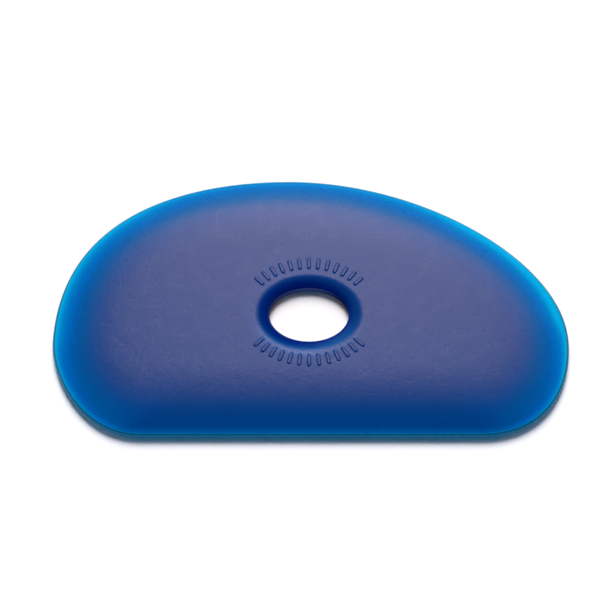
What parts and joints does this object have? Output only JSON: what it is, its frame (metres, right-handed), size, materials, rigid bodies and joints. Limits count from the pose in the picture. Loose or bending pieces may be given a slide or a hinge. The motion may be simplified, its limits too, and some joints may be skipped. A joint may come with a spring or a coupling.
{
  "type": "pottery rib",
  "caption": "Kidney-shaped flexible pottery rib: flat back, thin rounded working edge, taper up to a thicker grip area, dished oval finger hole.",
  "frame": {"origin": "middle of the flat back, half-way along the length and half-way from the straight edge to the crown", "axes": "+X along the length, towards the end that the crown slopes down to; +Y from the straight working edge towards the crown; +Z out of the dished front face"},
  "size_m": [0.14, 0.0786, 0.0042],
  "materials": {
    "blue_polyurethane": "satin, slightly translucent"
  },
  "bodies": {
    "root": {"rib_body": "blue_polyurethane"}
  },
  "joints": []
}
